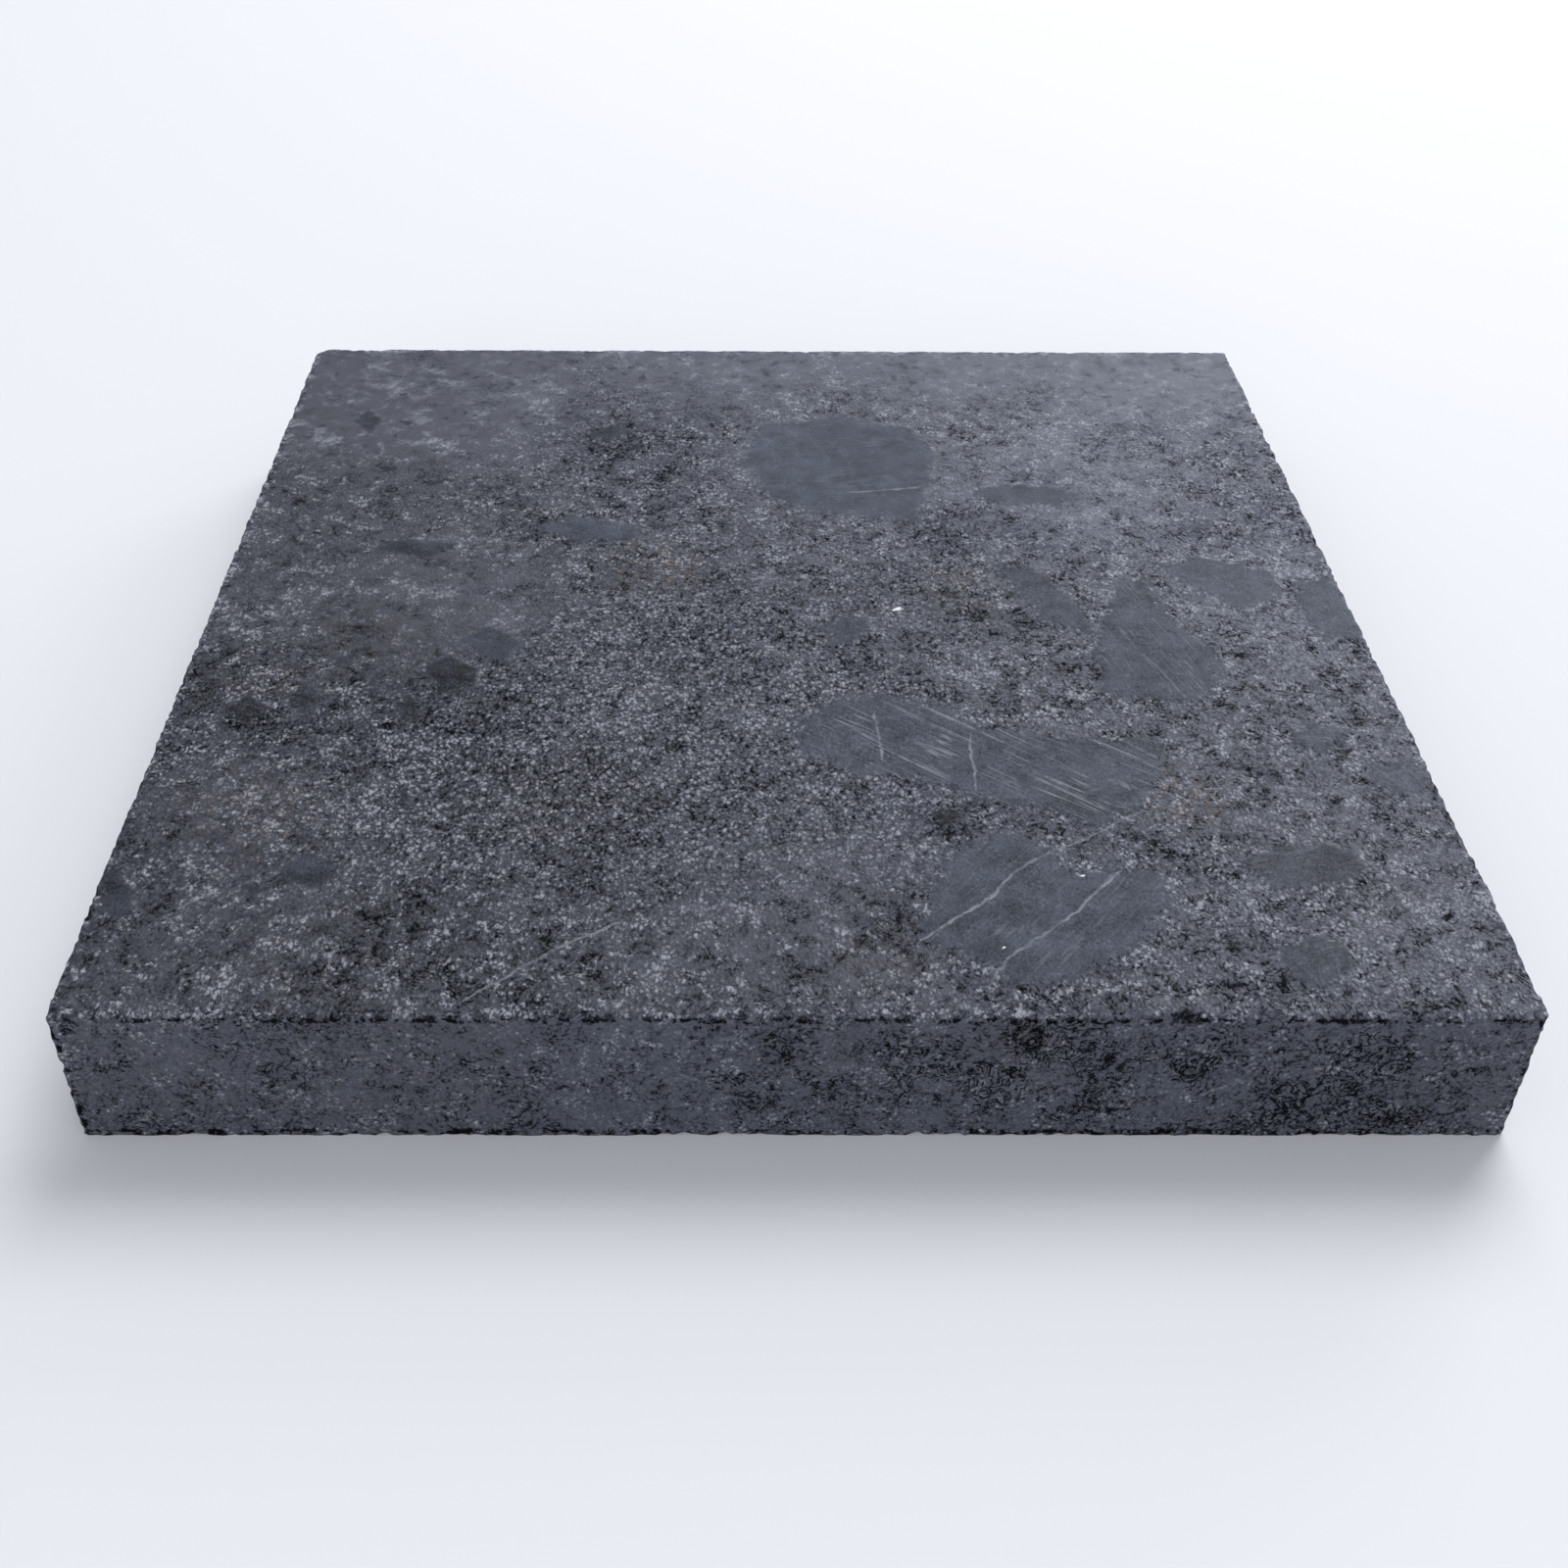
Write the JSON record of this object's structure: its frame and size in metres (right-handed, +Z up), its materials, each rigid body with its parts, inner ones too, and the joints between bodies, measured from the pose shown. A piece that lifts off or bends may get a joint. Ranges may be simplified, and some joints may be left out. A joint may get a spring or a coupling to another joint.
{
  "type": "granite slab",
  "caption": "Square dark granite slab with a flat textured top face, sawn rough sides and lightly chipped edges, used as a hard backing for punching and skiving leather.",
  "frame": {"origin": "middle of the underside, where the slab rests", "axes": "+Z up through the thickness, +X along the front edge to the right, +Y from the front edge to the back edge"},
  "size_m": [0.15, 0.15, 0.018],
  "materials": {
    "granite": "matte"
  },
  "bodies": {
    "root": {"granite_slab": "granite"}
  },
  "joints": []
}
